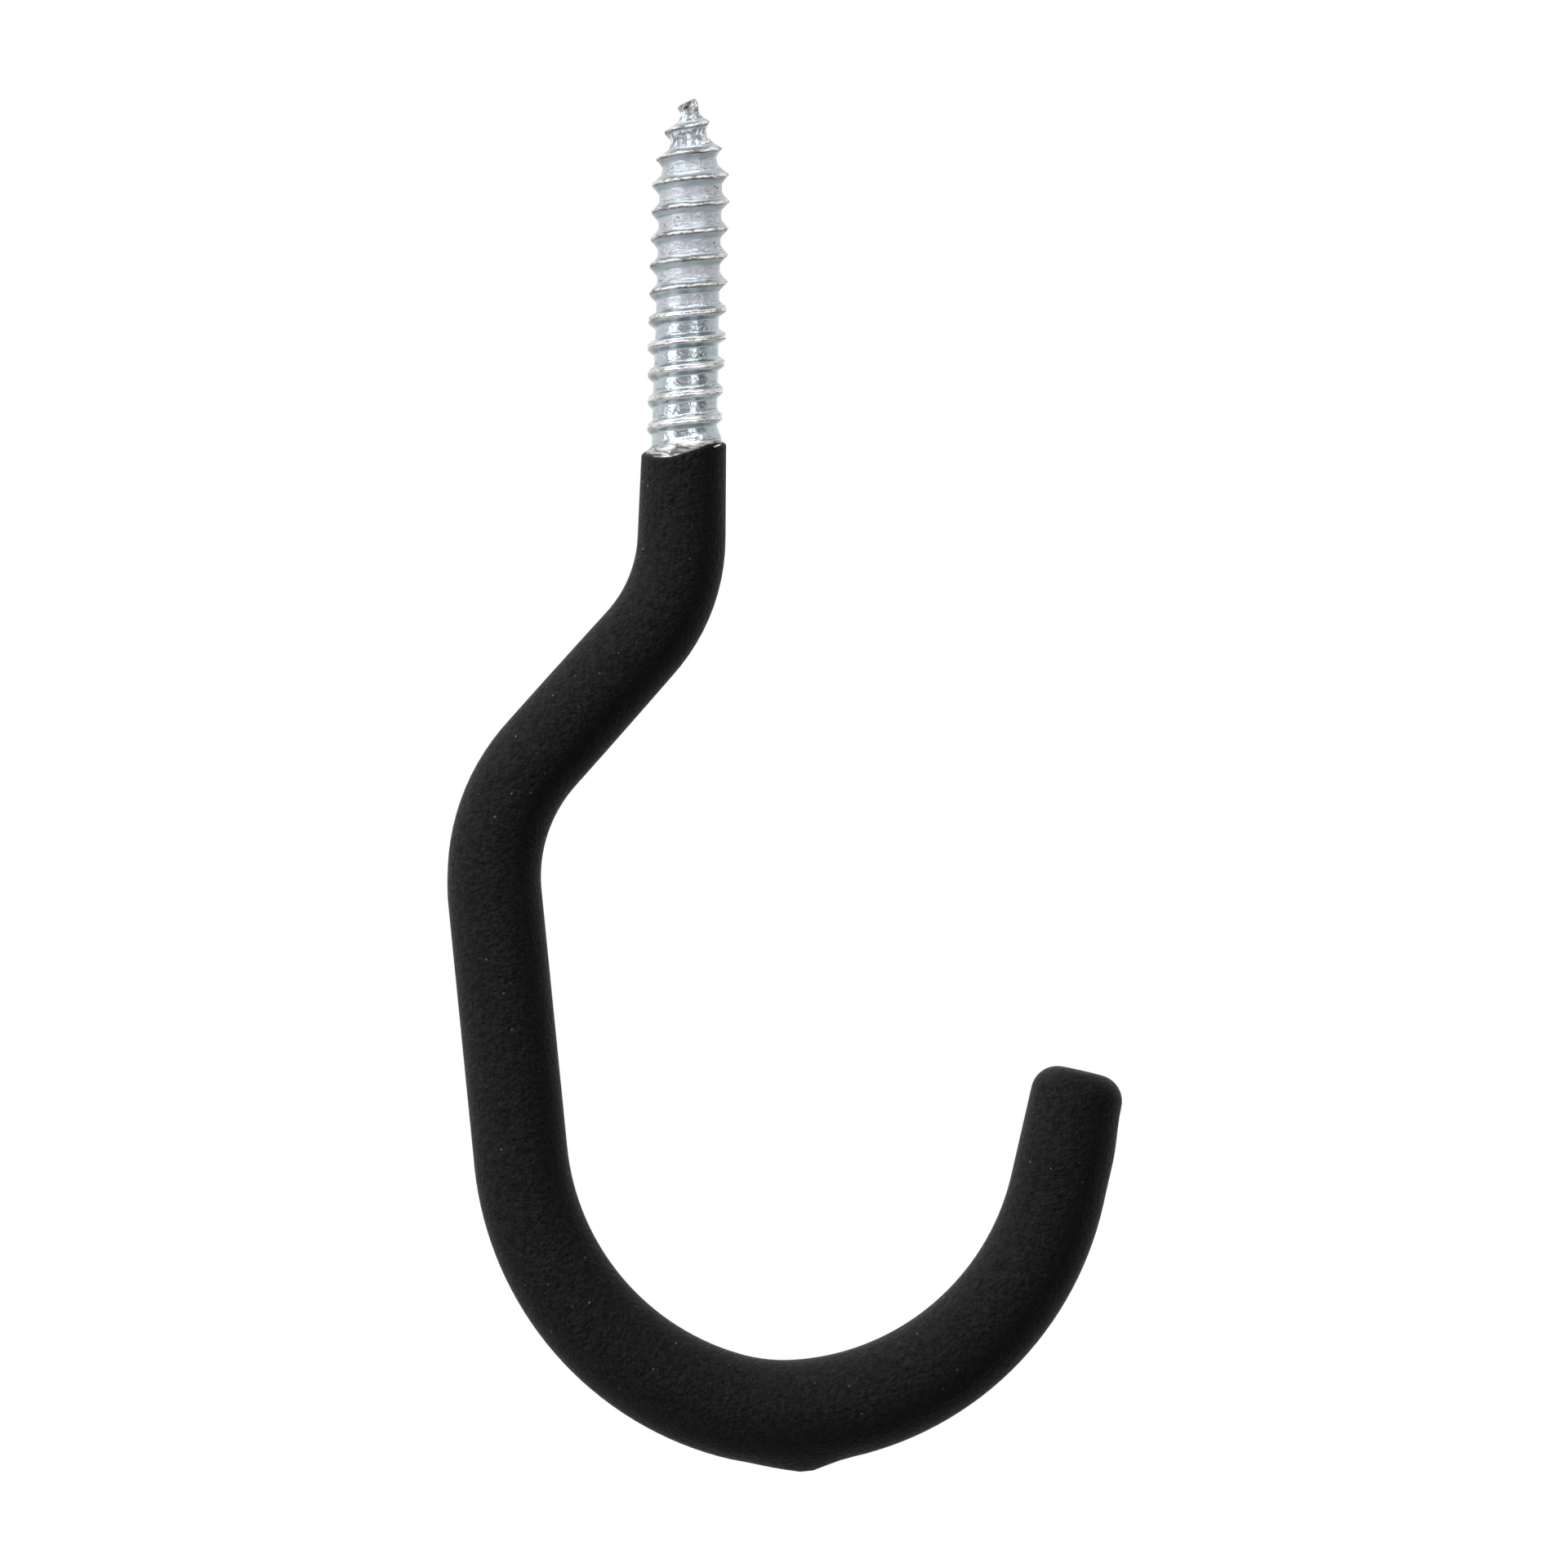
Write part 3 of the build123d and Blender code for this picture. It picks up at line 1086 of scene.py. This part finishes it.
scuffed = mix_colour(
    tree, stretch(tree, scuffs, 0.4, 0.52),
    (0.14, 0.135, 0.13), (0.74, 0.725, 0.715),
)
finished = mix_colour(tree, by_rim, lapped, scuffed)
print("zinc colours made")

# %% [markdown]
# ## The sheared face and the shine
# The little face where the blank was sheared off is dark. Its mask is how far a place stands
# towards the shear plane. Then come a low roughness that follows the streaks, and a relief of the
# same noises as the colours, so that each mark is seen both as a tone and as a dent.

# %% The sheared face
level = measure(tree, "DOT_PRODUCT", place, tip_normal)
burr_level = tip_point.dot(tip_normal)
burred = stretch(tree, level, burr_level - 0.3 * mm, burr_level - 0.16 * mm)
sheared = mix_colour(tree, crest_scale, (0.05, 0.05, 0.05), (0.42, 0.38, 0.35))
finished = mix_colour(tree, burred, finished, sheared)
tree.links.new(finished, shader.inputs["Base Color"])
print("sheared face coloured")

# %% The zinc's shine
shader.inputs["Metallic"].default_value = 1.0
smooth_share = stretch(tree, upper_turns, 0, 1, 0.14, 0.24)
dulled = calculate(tree, "MULTIPLY_ADD", streaks, 0.1, smooth_share)
dulled = calculate(tree, "MULTIPLY_ADD", by_rim, 0.1, dulled)
tree.links.new(dulled, shader.inputs["Roughness"])
print("shine made")

# %% The zinc's relief
streak_depth = stretch(tree, upper_turns, 0, 1, 0.25, 0.9)
streak_relief = product(tree, streaks, streak_depth)
relief = add_bump(tree, streak_relief, 0.8, 0.07)
pitting = product(tree, hammered, root)
relief = add_bump(tree, pitting, 0.8, 0.13, relief)
relief = add_bump(tree, curls, 0.6, 0.05, relief)
mottled = product(tree, mottle, upper_root)
relief = add_bump(tree, mottled, 0.9, 0.15, relief)
fold_relief = product(tree, folds, in_fold)
relief = add_bump(tree, fold_relief, 0.9, 0.22, relief)
crest_depth = stretch(tree, upper_turns, 0, 1, 0.3, 1.0)
crest_relief = product(tree, crest_scale, crest_band, crest_depth)
relief = add_bump(tree, crest_relief, 0.9, 0.2, relief)
scuff_relief = product(tree, scuffs, by_rim)
relief = add_bump(tree, scuff_relief, 0.8, 0.2, relief)
sunk = product(tree, calculate(tree, "MAXIMUM", lines, lap), -1.0)
relief = add_bump(tree, sunk, 0.8, 0.04, relief)
relief = add_bump(tree, metal_grain.outputs["Height"], 0.3, 0.02, relief)
tree.links.new(relief, shader.inputs["Normal"])
screw.data.materials.clear()
screw.data.materials.append(zinc)
print("material:", zinc.name)

# %% [markdown]
# ## Join the frame
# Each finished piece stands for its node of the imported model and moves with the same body.

# %% Replace the plain solids
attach(sleeve, "root")
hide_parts("vinyl_coat")
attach(screw, "root")
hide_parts("steel_hook")

# %% [markdown]
# ## The floor
# The photograph has a pure white ground. The hook hangs by its screw, so the pale floor lies a
# little below it. The camera sees the paper lifted to white, a little less so near the hook, where
# its soft shadow falls. Reflections see the paper dimmer, and it throws no light up at the vinyl.

# %% The floor
deselect_all()
floor_height = -0.131
floor_back_edge = 0.11
floor_size = 1.6
under_hook = (0, floor_size / 2 - floor_back_edge, 0)
shadow_reach = 0.3
white_from = 0.8
white_near_hook = 0.78
white_mirrored = 0.42
bpy.ops.mesh.primitive_plane_add(
    size=floor_size,
    location=(0.012, floor_back_edge - floor_size / 2, floor_height),
)
ground = bpy.context.object
ground.name = "floor"
paper, tree, shader, place = start_material("pale_paper")
shader.inputs["Base Color"].default_value = (0.82, 0.82, 0.82, 1)
shader.inputs["Roughness"].default_value = 0.9
shader.inputs["Emission Color"].default_value = (1, 1, 1, 1)
away = measure(tree, "DISTANCE", place, under_hook)
whiteness = stretch(tree, away, shadow_reach, white_from, white_near_hook, 1.0)
rays = tree.nodes.new("ShaderNodeLightPath").outputs
straight = calculate(tree, "MAXIMUM", rays["Is Camera Ray"], rays["Is Transmission Ray"])
whitened = product(tree, straight, whiteness)
mirrored_floor = product(tree, rays["Is Glossy Ray"], white_mirrored)
lift = calculate(tree, "MAXIMUM", whitened, mirrored_floor)
tree.links.new(lift, shader.inputs["Emission Strength"])
ground.data.materials.append(paper)
ground.visible_diffuse = False
print("floor at", floor_height, "m")

# %% [markdown]
# ## The lamps
# Metal shows what stands round it, and vinyl shows where the light comes from, so each has its own
# light. Three large soft boxes are there to be mirrored in the zinc, and are hidden from diffuse
# light. One small key lamp at the top left lights the vinyl and the floor, and is hidden from
# reflections.


# %% Lamps
def soft_box(name, place, aim, width, height, watts):
    """A rectangular area lamp that faces a point."""
    data = bpy.data.lights.new(name, "AREA")
    data.shape = "RECTANGLE"
    data.size = width
    data.size_y = height
    data.energy = watts
    lamp = bpy.data.objects.new(name, data)
    lamp.location = place
    lamp.rotation_mode = "QUATERNION"
    lamp.rotation_quaternion = (Vector(aim) - Vector(place)).to_track_quat("-Z", "Y")
    bpy.context.collection.objects.link(lamp)
    return lamp


middle = (0.0, 0.0, -0.02)
left_box = soft_box("left_box", (-0.72, -0.56, 0.12), middle, 0.46, 0.95, 3.3)
right_box = soft_box("right_box", (0.44, -0.82, 0.1), middle, 0.22, 0.95, 1.35)
top_box = soft_box("top_box", (-0.1, -0.35, 0.9), middle, 1.4, 0.6, 8.0)
for box in (left_box, right_box, top_box):
    box.visible_diffuse = False
key = soft_box("key", (-0.75, -0.55, 0.6), (0.0, 0.0, -0.05), 0.25, 0.25, 8.0)
key.visible_glossy = False
print("lamps:", len(bpy.data.lights))

# %% [markdown]
# ## The white world
# The camera sees the world plain white. In reflections it is the studio's room: bright behind the
# hook, dimmer in front, below and far right, with a beige screen at the front right. As a light it
# is very weak, so that the vinyl keeps its dark side.

# %% What the zinc mirrors
screen_bearing = 61
screen_half_width = 12
screen_blur = 3
world = bpy.data.worlds.new("white_ground")
world.use_nodes = True
bpy.context.scene.world = world
tree = world.node_tree
tree.nodes.clear()
direction = tree.nodes.new("ShaderNodeSeparateXYZ")
facing = tree.nodes.new("ShaderNodeTexCoord").outputs["Generated"]
tree.links.new(facing, direction.inputs["Vector"])
east, north, up = (direction.outputs[axis] for axis in "XYZ")
behind = stretch(tree, north, -0.62, 0.1, 0.45, 1.0)
below = stretch(tree, up, -0.7, 0.0, 0.4, 1.0)
right_side = stretch(tree, east, 0.3, 0.9, 1.0, 0.78)
room_strength = product(tree, behind, below, right_side)
towards_camera = product(tree, north, -1.0)
bearing = calculate(tree, "ARCTAN2", east, towards_camera)
off_screen = calculate(tree, "SUBTRACT", bearing, radians(screen_bearing))
off_screen = calculate(tree, "ABSOLUTE", off_screen)
screen_edge = radians(screen_half_width)
screen = stretch(tree, off_screen, screen_edge + radians(screen_blur), screen_edge)
screen_top = stretch(tree, up, 0.35, 0.2)
screen = product(tree, screen, screen_top)
room_colour = mix_colour(tree, screen, (1, 1, 1), (0.44, 0.4, 0.34))
mirrored = tree.nodes.new("ShaderNodeBackground")
tree.links.new(room_strength, mirrored.inputs["Strength"])
tree.links.new(room_colour, mirrored.inputs["Color"])
print("room made")

# %% What the camera sees and what lights the vinyl
fill_strength = 0.014
plain = tree.nodes.new("ShaderNodeBackground")
plain.inputs["Strength"].default_value = fill_strength
white = tree.nodes.new("ShaderNodeBackground")
white.inputs["Strength"].default_value = 1.0
for ground_light in (plain, white):
    ground_light.inputs["Color"].default_value = (1, 1, 1, 1)
rays = tree.nodes.new("ShaderNodeLightPath").outputs
first_mix = tree.nodes.new("ShaderNodeMixShader")
tree.links.new(rays["Is Glossy Ray"], first_mix.inputs[0])
tree.links.new(plain.outputs[0], first_mix.inputs[1])
tree.links.new(mirrored.outputs[0], first_mix.inputs[2])
seen = calculate(tree, "MAXIMUM", rays["Is Camera Ray"], rays["Is Transmission Ray"])
second_mix = tree.nodes.new("ShaderNodeMixShader")
tree.links.new(seen, second_mix.inputs[0])
tree.links.new(first_mix.outputs[0], second_mix.inputs[1])
tree.links.new(white.outputs[0], second_mix.inputs[2])
world_end = tree.nodes.new("ShaderNodeOutputWorld")
tree.links.new(second_mix.outputs[0], world_end.inputs["Surface"])
bpy.context.scene.view_settings.view_transform = "Standard"
print("world:", world.name)
